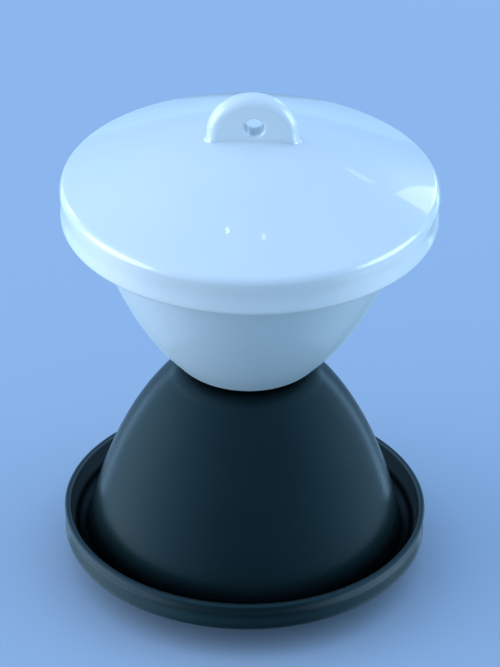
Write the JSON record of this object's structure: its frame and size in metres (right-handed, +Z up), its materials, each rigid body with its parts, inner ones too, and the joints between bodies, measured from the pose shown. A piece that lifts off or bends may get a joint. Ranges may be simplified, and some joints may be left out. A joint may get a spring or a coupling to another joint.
{
  "type": "porcelain crucible",
  "caption": "White glazed porcelain crucible with lug-handled lid, standing on an upturned black crucible of the same shape set in its own inverted lid.",
  "frame": {"origin": "centre of the flat foot of the black lid, on the plane everything stands on", "axes": "+Z up along the common axis of the crucibles and lids, +X along the width of the white lid's lug, -Y towards the face of the lug"},
  "size_m": [0.0576, 0.0576, 0.0835],
  "materials": {
    "white_porcelain_glaze": "gloss",
    "white_porcelain_satin": "satin",
    "black_porcelain_satin": "satin",
    "black_porcelain_glaze": "semi-gloss"
  },
  "bodies": {
    "black_lid": {"black_lid": "black_porcelain_glaze"},
    "black_crucible": {"black_crucible": "black_porcelain_satin"},
    "white_crucible": {"white_crucible": "white_porcelain_satin"},
    "white_lid": {"white_lid": "white_porcelain_glaze"}
  },
  "joints": [
    {"name": "black_crucible_lift", "type": "slide", "parent": "black_lid", "child": "black_crucible", "axis": [0, 0, 1], "range_m": [0, 0.02]},
    {"name": "white_crucible_lift", "type": "slide", "parent": "black_crucible", "child": "white_crucible", "axis": [0, 0, 1], "range_m": [0, 0.03]},
    {"name": "white_lid_lift", "type": "slide", "parent": "white_crucible", "child": "white_lid", "axis": [0, 0, 1], "range_m": [0, 0.03]}
  ]
}
